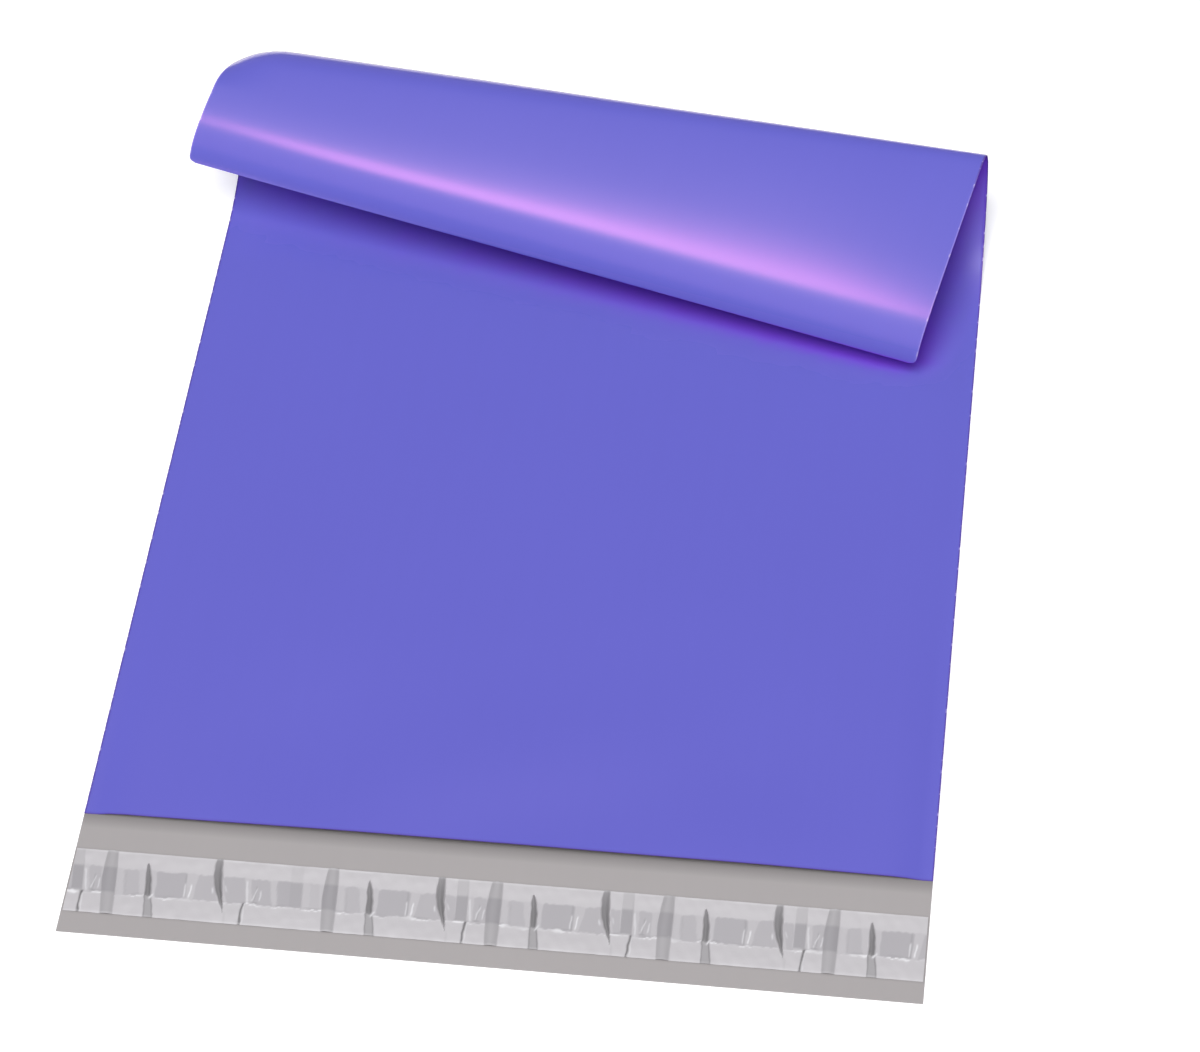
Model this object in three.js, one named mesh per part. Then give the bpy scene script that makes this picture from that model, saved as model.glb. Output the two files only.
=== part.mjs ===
// A poly mailer bag, empty and open, lying on its back wall with its closed end curled over.
// The bag is one sheet of co-extruded film: folded once at the closed end, welded along both sides,
// open at the mouth, with the back wall running on past the mouth as the closing flap.
// A hot-melt strip lies across the flap, and a crinkled release liner covers the strip.
// Millimetres. X runs across the bag, Y from the flap to the closed end, Z up from the table.
// The origin is under the middle of the mouth edge.
import * as THREE from "three";
import { mergeVertices } from "three/addons/utils/BufferGeometryUtils.js";

// Bag, measured on the flat film.
const BAG_WIDTH = 250;
const BAG_LENGTH = 350; // mouth edge to closed end
const FLAP_LENGTH = 40;
const FILM_THICKNESS = 0.06;
const WELD_WIDTH = 3; // side weld, in from each edge
const FOLD_WIDTH = 1.2; // strip at the closed end where the two walls press together

// Air between the two walls.
const WALL_GAP = 0.3;
const GAP_START = 10; // distance from a weld at which the walls are the full gap apart
const MOUTH_RISE = 1.2; // extra gap at the middle of the mouth
const MOUTH_REACH = 150; // how far that rise runs into the bag

// Adhesive strip and release liner, across the flap.
const LINER_WIDTH = 21;
const LINER_THICKNESS = 0.04;
const LINER_END_MARGIN = 7; // bare film between the liner and the end of the flap
const LINER_SIDE_MARGIN = 0.5;
const ADHESIVE_WIDTH = 8;
const ADHESIVE_THICKNESS = 0.05;
const ADHESIVE_INSET = 6; // from the liner's edge on the mouth side to the adhesive
const ADHESIVE_SIDE_MARGIN = 2;
const LINER_EDGE_LIFT = 0.25; // how far the liner's two free edges stand off

// The liner came off a roll that left the same group of creases at every turn.
const CREASE_PITCH = 48.6;
const CREASE_START = -48.9; // one group starts here, from the middle of the bag
const CREASE_SLIP = 16; // the groups to the left of that one sit this much farther left
const LEAST_COLUMN = 0.7; // the closest two lines of the liner's mesh may lie

// One group of creases, each placed by its middle from where its group starts.
const BAND_WIDTH = 5; // a wide fold right across the liner
const BAND_RISE = 0.7;
const SHORT_CREASE_AT = 11.2;
const SHORT_CREASE_WIDTH = 2.4;
const SHORT_CREASE_RISE = 0.5;
const LONG_CREASE_AT = 32;
const LONG_CREASE_WIDTH = 3.6;
const LONG_CREASE_RISE = 1;
const CRACK_AT = 38.6;
const CRACK_WIDTH = 1.8;
const CRACK_RISE = 0.5;

// "from" and "to" are how far across the liner a crease runs, and "flatTop" how much of its width
// is level, all as shares, counted from the mouth side.
const CREASES = [
  { at: 0, width: BAND_WIDTH, rise: BAND_RISE, from: 0, to: 1, flatTop: 0.5 },
  {
    at: SHORT_CREASE_AT,
    width: SHORT_CREASE_WIDTH,
    rise: SHORT_CREASE_RISE,
    from: 0.2,
    to: 0.6,
    flatTop: 0,
  },
  { at: LONG_CREASE_AT, width: LONG_CREASE_WIDTH, rise: LONG_CREASE_RISE, from: 0, to: 0.8, flatTop: 0 },
  { at: CRACK_AT, width: CRACK_WIDTH, rise: CRACK_RISE, from: 0.62, to: 1, flatTop: 0 },
];

// Distances back from the closed end, along the left and the right edge, of the straight lines
// that give the curl its form.
const LIFT_LEFT = 120; // the film leaves the table
const LIFT_RIGHT = 139;
const CLIMB_LEFT = 60; // the climb at the back ends
const CLIMB_RIGHT = 87;
const BACK_LEFT = 56; // hindmost line
const BACK_RIGHT = 83;
const TOP_LEFT = 37; // over the top, and upside down
const TOP_RIGHT = 73;
const FALL_END = 21; // the slow fall towards the mouth ends
const TUCK_START = 10; // the free end tucks under

// The lines in order, each with how far the film has turned up there, in degrees.
const CURL_LINES = [
  { left: LIFT_LEFT, right: LIFT_RIGHT, turn: 0 },
  { left: CLIMB_LEFT, right: CLIMB_RIGHT, turn: 55 },
  { left: BACK_LEFT, right: BACK_RIGHT, turn: 93 },
  { left: TOP_LEFT, right: TOP_RIGHT, turn: 191 },
  { left: FALL_END, right: FALL_END, turn: 194 },
  { left: TUCK_START, right: TUCK_START, turn: 209 },
  { left: 0, right: 0, turn: 250 }, // the fold at the closed end
];

// How finely the film is divided.
const CURL_ROWS = 40;
const FLAT_ROWS = 8;
const FLAP_ROWS = 2;
const MIDDLE_COLUMNS = 10;

// A closed surface, gathered triangle by triangle with each face seen counter-clockwise from outside.
class Skin {
  constructor() {
    this.corners = [];
  }

  triangle(a, b, c) {
    for (const corner of [a, b, c]) this.corners.push(corner.x, corner.y, corner.z);
  }

  // The diagonal runs from a to c, or from b to d when it is turned.
  quad(a, b, c, d, turned = false) {
    this.triangle(a, b, turned ? d : c);
    this.triangle(turned ? b : a, c, d);
  }

  // A grid of quads between columns first and last and rows start and end. point(row, column)
  // gives its corners. The diagonals of the left half mirror those of the right half.
  grid(start, end, first, last, point, up = true) {
    for (let row = start; row < end; row += 1) {
      for (let column = first; column < last; column += 1) {
        const turned = column < (first + last) / 2 - 0.5;
        const a = point(row, column);
        const b = point(row, column + 1);
        const c = point(row + 1, column + 1);
        const d = point(row + 1, column);
        if (up) this.quad(a, b, c, d, turned);
        else this.quad(d, c, b, a, !turned);
      }
    }
  }

  geometry() {
    const loose = new THREE.BufferGeometry();
    loose.setAttribute("position", new THREE.Float32BufferAttribute(this.corners, 3));
    const merged = mergeVertices(loose, 1e-4);
    merged.computeVertexNormals();
    return merged;
  }
}

// A smooth curve through values at 0, 1, 2, ... that never runs past them between two points.
function smoothThrough(values) {
  const steps = values.slice(1).map((value, i) => value - values[i]);
  const slopes = values.map((_, i) => {
    if (i === 0) return endSlope(steps[0], steps[1]);
    if (i === values.length - 1) return endSlope(steps[i - 1], steps[i - 2]);
    if (steps[i - 1] * steps[i] <= 0) return 0;
    return (2 * steps[i - 1] * steps[i]) / (steps[i - 1] + steps[i]);
  });
  return (t) => {
    const i = Math.min(Math.floor(t), steps.length - 1);
    const s = t - i;
    const keep = (1 + 2 * s) * (1 - s) ** 2;
    const reach = s * s * (3 - 2 * s);
    const leave = s * (1 - s) ** 2;
    const arrive = s * s * (s - 1);
    return keep * values[i] + reach * values[i + 1] + leave * slopes[i] + arrive * slopes[i + 1];
  };
}

function endSlope(near, next) {
  const slope = (3 * near - next) / 2;
  if (slope * near <= 0) return 0;
  return Math.abs(slope) > Math.abs(3 * near) ? 3 * near : slope;
}

// The straight lines across the film at which it bends, from where it leaves the table to the
// fold, each with how far the film has turned there in radians.
function curlRows() {
  const left = smoothThrough(CURL_LINES.map((line) => line.left));
  const right = smoothThrough(CURL_LINES.map((line) => line.right));
  const turn = smoothThrough(CURL_LINES.map((line) => line.turn));
  const rows = [];
  for (let i = 0; i <= CURL_ROWS; i += 1) {
    const t = (i / CURL_ROWS) * (CURL_LINES.length - 1);
    rows.push({ left: left(t), right: right(t), turn: THREE.MathUtils.degToRad(turn(t)) });
  }
  // The row before the fold lies where the two walls start to press together.
  const pressed = rows[CURL_ROWS - 1];
  pressed.left = FOLD_WIDTH;
  pressed.right = FOLD_WIDTH;
  return rows;
}

function turnAboutLine(from, to, angle) {
  const axis = to.clone().sub(from).normalize();
  const turn = new THREE.Matrix4().makeRotationAxis(axis, angle);
  const shift = from.clone().sub(from.clone().applyMatrix4(turn));
  return turn.setPosition(shift);
}

// Every row of the film: its two ends on the flat film, the placing of the film there, and the
// direction of its upper side. The film is bent about one row after another, and nowhere else, so
// it stays unstretched.
function filmRows() {
  const side = BAG_WIDTH / 2;
  const curl = curlRows();
  const rows = [];
  const addRow = (left, right, before, after) => {
    const up = new THREE.Vector3().setFromMatrixColumn(before, 2);
    up.add(new THREE.Vector3().setFromMatrixColumn(after, 2)).multiplyScalar(0.5);
    up.divideScalar(up.lengthSq()); // longer on a bend, so that the wall keeps its thickness
    rows.push({ left, right, placing: before, up });
  };
  const flat = new THREE.Matrix4();
  for (let i = 0; i < FLAP_ROWS; i += 1) {
    const y = -FLAP_LENGTH * (1 - i / FLAP_ROWS);
    addRow(new THREE.Vector3(-side, y, 0), new THREE.Vector3(side, y, 0), flat, flat);
  }
  for (let i = 0; i < FLAT_ROWS; i += 1) {
    const share = i / FLAT_ROWS;
    const left = new THREE.Vector3(-side, (BAG_LENGTH - curl[0].left) * share, 0);
    const right = new THREE.Vector3(side, (BAG_LENGTH - curl[0].right) * share, 0);
    addRow(left, right, flat, flat);
  }
  let placing = flat;
  curl.forEach((line, i) => {
    const left = new THREE.Vector3(-side, BAG_LENGTH - line.left, 0);
    const right = new THREE.Vector3(side, BAG_LENGTH - line.right, 0);
    const next = curl[Math.min(i + 1, CURL_ROWS)].turn;
    const last = curl[Math.max(i - 1, 0)].turn;
    const bend = i < CURL_ROWS ? (next - last) / 2 : 0;
    const after = placing.clone().multiply(turnAboutLine(left, right, bend));
    addRow(left, right, placing, after);
    placing = after;
  });
  return rows;
}

// Shares of the width at which the film has a line of corners: edge, weld, taper, middle.
function filmColumns() {
  const weld = WELD_WIDTH / BAG_WIDTH;
  const open = (WELD_WIDTH + GAP_START) / BAG_WIDTH;
  const shares = [0, weld];
  for (let i = 0; i <= MIDDLE_COLUMNS; i += 1) {
    shares.push(open + (1 - 2 * open) * (i / MIDDLE_COLUMNS));
  }
  shares.push(1 - weld, 1);
  return shares;
}

function filmBag() {
  const rows = filmRows();
  const columns = filmColumns();
  const mouth = FLAP_ROWS;
  const pressed = rows.length - 2;
  const fold = rows.length - 1;
  const leftWeld = 1;
  const rightWeld = columns.length - 2;
  const rightEdge = columns.length - 1;

  // A point of the film, lifted off the back wall's outer face.
  const lifted = (row, column, lift) => {
    const { left, right, placing, up } = rows[row];
    const point = left.clone().lerp(right, columns[column]).applyMatrix4(placing);
    return point.addScaledVector(up, lift);
  };

  // How far apart the walls' inner faces are.
  const gap = (row, column) => {
    if (column <= leftWeld || column >= rightWeld || row >= pressed) return 0;
    const { left, right } = rows[row];
    const along = THREE.MathUtils.lerp(left.y, right.y, columns[column]);
    const across = Math.sin(Math.PI * columns[column]) ** 2;
    const rise = MOUTH_RISE * across * Math.max(0, 1 - along / MOUTH_REACH) ** 2;
    return WALL_GAP + rise;
  };

  const backOuter = (row, column) => lifted(row, column, 0);
  const backInner = (row, column) => lifted(row, column, FILM_THICKNESS);
  const frontInner = (row, column) => lifted(row, column, FILM_THICKNESS + gap(row, column));
  const frontOuter = (row, column) => lifted(row, column, 2 * FILM_THICKNESS + gap(row, column));

  const skin = new Skin();
  skin.grid(0, fold, 0, rightEdge, backOuter, false);
  skin.grid(0, mouth, 0, rightEdge, backInner);
  skin.grid(mouth, pressed, leftWeld, rightWeld, backInner);
  skin.grid(mouth, pressed, leftWeld, rightWeld, frontInner, false);
  skin.grid(mouth, fold, 0, rightEdge, frontOuter);

  // The end of the flap, and the front wall's edge at the mouth.
  for (let column = 0; column < rightEdge; column += 1) {
    const next = column + 1;
    skin.quad(backOuter(0, column), backOuter(0, next), backInner(0, next), backInner(0, column));
    const low = frontInner(mouth, column);
    const lowNext = frontInner(mouth, next);
    skin.quad(low, lowNext, frontOuter(mouth, next), frontOuter(mouth, column));
  }

  // The fold is rounded: its middle stands out past its two sides by one thickness of film.
  const foldNose = (column) => {
    const inward = lifted(fold, column, FILM_THICKNESS);
    const along = inward.clone().sub(lifted(pressed, column, FILM_THICKNESS)).normalize();
    return inward.addScaledVector(along, FILM_THICKNESS);
  };
  for (let column = 0; column < rightEdge; column += 1) {
    const next = column + 1;
    const nose = foldNose(column);
    const noseNext = foldNose(next);
    skin.quad(backOuter(fold, next), backOuter(fold, column), nose, noseNext);
    skin.quad(noseNext, nose, frontOuter(fold, column), frontOuter(fold, next));
  }

  // The cut edges along the two sides: the flap's single film, then both walls as one.
  for (const [column, leftSide] of [[0, true], [rightEdge, false]]) {
    const face = (a, b, c, d) => (leftSide ? skin.quad(b, a, d, c) : skin.quad(a, b, c, d));
    const corner = (a, b, c) => (leftSide ? skin.triangle(b, a, c) : skin.triangle(a, b, c));
    for (let row = 0; row < mouth; row += 1) {
      const low = backOuter(row, column);
      const lowNext = backOuter(row + 1, column);
      face(low, lowNext, backInner(row + 1, column), backInner(row, column));
    }
    const step = backInner(mouth, column);
    corner(backOuter(mouth, column), backOuter(mouth + 1, column), step);
    const highNext = frontOuter(mouth + 1, column);
    face(step, backOuter(mouth + 1, column), highNext, frontOuter(mouth, column));
    for (let row = mouth + 1; row < fold; row += 1) {
      const low = backOuter(row, column);
      const lowNext = backOuter(row + 1, column);
      face(low, lowNext, frontOuter(row + 1, column), frontOuter(row, column));
    }
    corner(backOuter(fold, column), foldNose(column), frontOuter(fold, column));
  }
  return skin.geometry();
}

// The liner's edge on the mouth side.
const linerEdge = -FLAP_LENGTH + LINER_END_MARGIN + LINER_WIDTH;

function adhesiveStrip() {
  const width = BAG_WIDTH - 2 * ADHESIVE_SIDE_MARGIN;
  const strip = new THREE.BoxGeometry(width, ADHESIVE_WIDTH, ADHESIVE_THICKNESS);
  const bottom = FILM_THICKNESS;
  const top = FILM_THICKNESS + ADHESIVE_THICKNESS;
  const corners = strip.getAttribute("position");
  for (let i = 0; i < corners.count; i += 1) {
    const y = linerEdge - ADHESIVE_INSET - ADHESIVE_WIDTH / 2 + corners.getY(i);
    corners.setXYZ(i, corners.getX(i), y, corners.getZ(i) > 0 ? top : bottom);
  }
  return strip;
}

// Every crease on the liner, each with the place of its middle from the middle of the bag.
function creasesAcross() {
  const side = BAG_WIDTH / 2;
  const found = [];
  const firstGroup = -Math.ceil((side + CREASE_PITCH) / CREASE_PITCH);
  const lastGroup = Math.ceil((side - CREASE_START) / CREASE_PITCH);
  for (let group = firstGroup; group <= lastGroup; group += 1) {
    const start = CREASE_START + group * CREASE_PITCH - (group < 0 ? CREASE_SLIP : 0);
    for (const crease of CREASES) found.push({ ...crease, middle: start + crease.at });
  }
  return found.filter((crease) => Math.abs(crease.middle) < side + crease.width / 2);
}

// How high a crease lifts the liner at x, a share of the way across it.
function creaseRise(crease, x, share) {
  const off = Math.abs(x - crease.middle) / (crease.width / 2);
  const across = THREE.MathUtils.clamp((1 - off) / (1 - crease.flatTop), 0, 1);
  if (share < crease.from || share > crease.to) return 0;
  const fromStart = crease.from === 0 ? 1 : (share - crease.from) / (crease.to - crease.from);
  const fromEnd = crease.to === 1 ? 1 : (crease.to - share) / (crease.to - crease.from);
  return crease.rise * across * Math.min(1, 2 * fromStart, 2 * fromEnd);
}

function releaseLiner() {
  const half = BAG_WIDTH / 2 - LINER_SIDE_MARGIN;
  const creases = creasesAcross();
  const wanted = [-half, half];
  for (const crease of creases) {
    for (const part of crease.flatTop ? [-1, -crease.flatTop, crease.flatTop, 1] : [-1, 0, 1]) {
      wanted.push(crease.middle + (part * crease.width) / 2);
    }
  }
  wanted.sort((a, b) => a - b);
  const columns = [-half];
  for (const x of wanted) {
    if (x - columns[columns.length - 1] >= LEAST_COLUMN && x <= half - LEAST_COLUMN) columns.push(x);
  }
  columns.push(half);

  // Lines along the liner, from its free end near the flap's end to its edge on the mouth side.
  const glueNear = ADHESIVE_INSET + ADHESIVE_WIDTH;
  const rows = [
    LINER_WIDTH,
    (LINER_WIDTH + glueNear) / 2,
    glueNear,
    ADHESIVE_INSET + ADHESIVE_WIDTH / 2,
    ADHESIVE_INSET,
    ADHESIVE_INSET / 2,
    0,
  ];
  const point = (row, column, thickness) => {
    const x = columns[column];
    const inset = rows[row];
    const free = Math.max(ADHESIVE_INSET - inset, inset - glueNear, 0);
    const edgeLift = Math.min(1, free / ADHESIVE_INSET) * LINER_EDGE_LIFT;
    const rises = creases.map((crease) => creaseRise(crease, x, inset / LINER_WIDTH));
    const glued = FILM_THICKNESS + ADHESIVE_THICKNESS;
    const lift = Math.max(edgeLift, ...rises);
    return new THREE.Vector3(x, linerEdge - inset, glued + lift + thickness);
  };
  const under = (row, column) => point(row, column, 0);
  const over = (row, column) => point(row, column, LINER_THICKNESS);

  const skin = new Skin();
  const lastRow = rows.length - 1;
  const lastColumn = columns.length - 1;
  skin.grid(0, lastRow, 0, lastColumn, under, false);
  skin.grid(0, lastRow, 0, lastColumn, over);
  for (let column = 0; column < lastColumn; column += 1) {
    const next = column + 1;
    skin.quad(under(0, column), under(0, next), over(0, next), over(0, column));
    const far = under(lastRow, next);
    skin.quad(far, under(lastRow, column), over(lastRow, column), over(lastRow, next));
  }
  for (let row = 0; row < lastRow; row += 1) {
    skin.quad(under(row + 1, 0), under(row, 0), over(row, 0), over(row + 1, 0));
    const near = under(row, lastColumn);
    skin.quad(near, under(row + 1, lastColumn), over(row + 1, lastColumn), over(row, lastColumn));
  }
  return skin.geometry();
}

const filmFinish = new THREE.MeshStandardMaterial({
  color: 0x6c68d0,
  roughness: 0.38,
  metalness: 0,
});
const adhesiveFinish = new THREE.MeshStandardMaterial({
  color: 0xb4b2b2,
  roughness: 0.25,
  metalness: 0,
});
const linerFinish = new THREE.MeshStandardMaterial({
  color: 0xd4d4d8,
  roughness: 0.3,
  metalness: 0,
  transparent: true,
  opacity: 0.8,
});

function piece(name, geometry, finish) {
  const mesh = new THREE.Mesh(geometry, finish);
  mesh.name = name;
  return mesh;
}

const mailer = new THREE.Group();
mailer.add(
  piece("film_bag", filmBag(), filmFinish),
  piece("adhesive_strip", adhesiveStrip(), adhesiveFinish),
  piece("release_liner", releaseLiner(), linerFinish),
);

export default mailer;
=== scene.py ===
# %% [markdown]
# A poly mailer bag, dressed for its picture. The bag is one sheet of plastic film, folded at the
# closed end, welded down both sides and left open at the mouth. Past the mouth the back wall runs
# on as a flap, which carries a strip of adhesive under a crinkled release liner. The construction
# is loaded as a fixed frame. This lesson builds the same three pieces again with the fine surface
# that a camera sees: the satin of the film, the welds, and the creases of the liner.

# %% Load the frame
import math

import bpy
import numpy as np
from mathutils import Matrix, Vector
from mathutils.bvhtree import BVHTree


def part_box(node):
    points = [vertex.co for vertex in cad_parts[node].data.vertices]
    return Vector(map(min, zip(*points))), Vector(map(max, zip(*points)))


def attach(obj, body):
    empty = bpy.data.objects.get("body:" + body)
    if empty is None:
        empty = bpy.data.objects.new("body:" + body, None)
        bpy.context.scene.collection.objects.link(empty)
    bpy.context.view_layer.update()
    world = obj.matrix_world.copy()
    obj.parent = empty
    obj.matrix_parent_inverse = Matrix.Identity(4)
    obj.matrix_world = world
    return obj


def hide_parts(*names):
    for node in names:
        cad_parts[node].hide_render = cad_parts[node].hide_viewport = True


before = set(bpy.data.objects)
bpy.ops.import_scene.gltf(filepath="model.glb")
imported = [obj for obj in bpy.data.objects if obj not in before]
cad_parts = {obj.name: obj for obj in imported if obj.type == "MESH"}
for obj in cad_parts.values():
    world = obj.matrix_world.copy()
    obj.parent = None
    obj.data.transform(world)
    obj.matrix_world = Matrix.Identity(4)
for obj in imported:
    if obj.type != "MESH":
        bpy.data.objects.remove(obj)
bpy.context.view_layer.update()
MM = 0.001

film_low, film_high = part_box("film_bag")
liner_low, liner_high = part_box("release_liner")
strip_low, strip_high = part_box("adhesive_strip")
HALF_WIDTH = film_high[0]
FLAP_LENGTH = -film_low[1]
FILM = strip_low[2]
LINER_BASE = liner_low[2]
LINER_TOP_EDGE = liner_high[1]
LINER_WIDTH = liner_high[1] - liner_low[1]
print("bag", round(2 * HALF_WIDTH / MM, 1), "mm wide, flap", round(FLAP_LENGTH / MM, 1), "mm")

# %% [markdown]
# The camera stands where the photographer stood, in front of the flap and looking down at the
# bag. Its place was worked out from the corners of the bag, and is kept as a distance, a height
# angle, a turn to the side and a small roll, because these can be read and changed one by one.

# %% Camera
CAMERA_TARGET = Vector((0.0138, 0.1175, 0.0))
CAMERA_DISTANCE = 1.107
CAMERA_HEIGHT = math.radians(53.534)
CAMERA_SIDE = math.radians(11.292)
CAMERA_ROLL = math.radians(-5.152)
SENSOR_WIDTH = 36.0
LENS = 107.23


def place_camera():
    level = math.cos(CAMERA_HEIGHT)
    back = Vector(
        (math.sin(CAMERA_SIDE) * level, -math.cos(CAMERA_SIDE) * level, math.sin(CAMERA_HEIGHT))
    )
    right = (-back).cross(Vector((0, 0, 1))).normalized()
    up = right.cross(-back)
    rolled_right = right * math.cos(CAMERA_ROLL) + up * math.sin(CAMERA_ROLL)
    rolled_up = up * math.cos(CAMERA_ROLL) - right * math.sin(CAMERA_ROLL)
    data = bpy.data.cameras.new("camera")
    data.sensor_fit = "HORIZONTAL"
    data.sensor_width = SENSOR_WIDTH
    data.lens = LENS
    data.clip_start = 0.05
    data.clip_end = 50
    camera = bpy.data.objects.new("camera", data)
    turn = Matrix((rolled_right, rolled_up, back)).transposed()
    camera.matrix_world = Matrix.Translation(CAMERA_TARGET + back * CAMERA_DISTANCE) @ turn.to_4x4()
    bpy.context.scene.collection.objects.link(camera)
    bpy.context.scene.camera = camera
    return camera


camera = place_camera()
print("camera at", [round(c, 3) for c in camera.matrix_world.translation])

# %% [markdown]
# Film bends easily one way and hardly stretches, so a curled sheet is made of straight lines: it
# turns a little about one line, then about the next. The curl is therefore given by a few of these
# lines, each with its distance back from the closed end at the left and the right edge, and by how
# far the film has turned there. The lines between come from a smooth curve through these values.
# A cloth simulation could also roll the film, but it would not keep these lines straight.

# %% The lines of the curl
BAG_LENGTH = 350 * MM
CURL_LINES = (
    # left, right (mm back from the closed end), turn (degrees)
    (120, 139, 0),
    (60, 87, 55),
    (56, 83, 93),
    (37, 73, 190),
    (27, 34, 193),
    (19, 19, 196),
    (10, 10, 209),
    (0, 0, 250),
)
CURL_ROWS = 132


def end_slope(near, following):
    slope = (3 * near - following) / 2
    if slope * near <= 0:
        return 0.0
    return 3 * near if abs(slope) > abs(3 * near) else slope


def smooth_through(values, at):
    """A smooth curve through values at 0, 1, 2, ... that never swings past them in between."""
    values = np.asarray(values, float)
    steps = np.diff(values)
    slopes = np.zeros(len(values))
    slopes[0] = end_slope(steps[0], steps[1])
    slopes[-1] = end_slope(steps[-1], steps[-2])
    for i in range(1, len(steps)):
        if steps[i - 1] * steps[i] > 0:
            slopes[i] = 2 * steps[i - 1] * steps[i] / (steps[i - 1] + steps[i])
    i = np.minimum(np.floor(at).astype(int), len(steps) - 1)
    s = at - i
    keep = (1 + 2 * s) * (1 - s) ** 2
    reach = s * s * (3 - 2 * s)
    leave = s * (1 - s) ** 2
    arrive = s * s * (s - 1)
    return keep * values[i] + reach * values[i + 1] + leave * slopes[i] + arrive * slopes[i + 1]


steps_along = np.linspace(0, len(CURL_LINES) - 1, CURL_ROWS + 1)
curl_left, curl_right, curl_turn = (
    smooth_through([line[k] for line in CURL_LINES], steps_along) for k in range(3)
)
curl_left = curl_left * MM
curl_right = curl_right * MM
curl_turn = np.radians(curl_turn)
print("curl leaves the table", round(curl_left[0] / MM), "mm back on the left")

# %% [markdown]
# Now the whole film is laid out in rows, from the end of the flap to the closed end. A row knows
# its two ends on the flat film, and the turn and shift that carry the film there. Turning about
# each line in order gives every row its place.

# %% Rows of the film
FLAP_ROWS = 14
FLAT_ROWS = 68
EDGE_BEAD = 0.3 * MM


def turn_about(start, end, angle):
    """The turn and the shift of a rotation about the line from start to end."""
    turn = np.array(Matrix.Rotation(angle, 3, Vector(end - start)))
    return turn, start - turn @ start


def film_rows():
    """Left ends, right ends, turns, shifts and upward directions, one of each for every row."""
    left, right, turns, shifts, ups = [], [], [], [], []

    def add(left_y, right_y, turn, shift, next_turn):
        left.append((-HALF_WIDTH, left_y, 0))
        right.append((HALF_WIDTH, right_y, 0))
        turns.append(turn)
        shifts.append(shift)
        up = (turn[:, 2] + next_turn[:, 2]) / 2
        ups.append(up / (up @ up))

    flat = np.eye(3)
    still = np.zeros(3)
    flap_shares = [1, 1 - EDGE_BEAD / FLAP_LENGTH]
    flap_shares += [1 - i / FLAP_ROWS for i in range(1, FLAP_ROWS)]
    for y in [-FLAP_LENGTH * share for share in flap_shares] + [0, EDGE_BEAD, 3 * EDGE_BEAD]:
        add(y, y, flat, still, flat)
    flat_left = BAG_LENGTH - curl_left[0]
    flat_right = BAG_LENGTH - curl_right[0]
    for i in range(1, FLAT_ROWS):
        share = i / FLAT_ROWS
        add(flat_left * share, flat_right * share, flat, still, flat)
    turn, shift = flat, still
    for i in range(CURL_ROWS + 1):
        left_y = BAG_LENGTH - curl_left[i]
        right_y = BAG_LENGTH - curl_right[i]
        after = min(i + 1, CURL_ROWS)
        bend = (curl_turn[after] - curl_turn[max(i - 1, 0)]) / 2 if i < CURL_ROWS else 0.0
        step, slide = turn_about(
            np.array((-HALF_WIDTH, left_y, 0)), np.array((HALF_WIDTH, right_y, 0)), bend
        )
        next_turn = turn @ step
        add(left_y, right_y, turn, shift, next_turn)
        shift = turn @ slide + shift
        turn = next_turn
    return [np.array(part, float) for part in (left, right, turns, shifts, ups)]


row_left, row_right, row_turn, row_shift, row_up = film_rows()
ROWS = len(row_left)
MOUTH = FLAP_ROWS + 1
print(ROWS, "rows of film")

# %% [markdown]
# Across the film the columns crowd together at the two side edges, where the weld leaves a fine
# bead and a pressed band, and spread out over the plain middle.

# %% Columns of the film
WELD_WIDTH = 3 * MM
EDGE_STEPS = np.array((0, 0.16, 0.34, 0.6, 1.1, 3.0, 4.6, 7.5, 12.0)) * MM
MIDDLE_COLUMNS = 52
edge_shares = EDGE_STEPS / (2 * HALF_WIDTH)
middle = np.linspace(edge_shares[-1], 1 - edge_shares[-1], MIDDLE_COLUMNS + 1)[1:-1]
column_share = np.concatenate([edge_shares, middle, 1 - edge_shares[::-1]])
COLUMNS = len(column_share)
LEFT_WELD = int(np.searchsorted(EDGE_STEPS, WELD_WIDTH))
RIGHT_WELD = COLUMNS - 1 - LEFT_WELD
from_edge = np.minimum(column_share, 1 - column_share) * 2 * HALF_WIDTH
print(COLUMNS, "columns")

# %% [markdown]
# Film is never quite flat. Slow waves run over the curl, a few tenths of a millimetre high, and
# show as soft changes in its sheen. A few sine waves with fixed directions make them, so that the
# same bag comes out every time. Shorter ones make edges and gaps uneven further on.

# %% Slow waves
def waves(x, y, seed, shortest, longest, count=7):
    """Smooth random hills over the plane, between about -1 and 1. Lengths are in metres."""
    random = np.random.default_rng(seed)
    total = np.zeros(np.broadcast(x, y).shape)
    for _ in range(count):
        heading = random.uniform(0, math.tau)
        length = random.uniform(shortest, longest)
        phase = random.uniform(0, math.tau)
        forward = x * math.cos(heading) + y * math.sin(heading)
        total = total + np.sin(forward * math.tau / length + phase)
    return total / math.sqrt(2 * count)


def fade(value, start, end):
    """0 before start, 1 past end, and a smooth step between."""
    s = np.clip((value - start) / (end - start), 0, 1)
    return s * s * (3 - 2 * s)


share = column_share[None, :, None]
flat_place = row_left[:, None] * (1 - share) + row_right[:, None] * share
flat_x, flat_y = flat_place[..., 0], flat_place[..., 1]
print("film laid out over", round((flat_y.max() - flat_y.min()) / MM), "mm")

# %% [markdown]
# The two walls are a little apart: pressed together in the welds and at the fold, three tenths of
# a millimetre apart where the empty bag lies flat, and more at the middle of the mouth, whose edge
# stands off the flap and throws a thin shadow on it.

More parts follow.
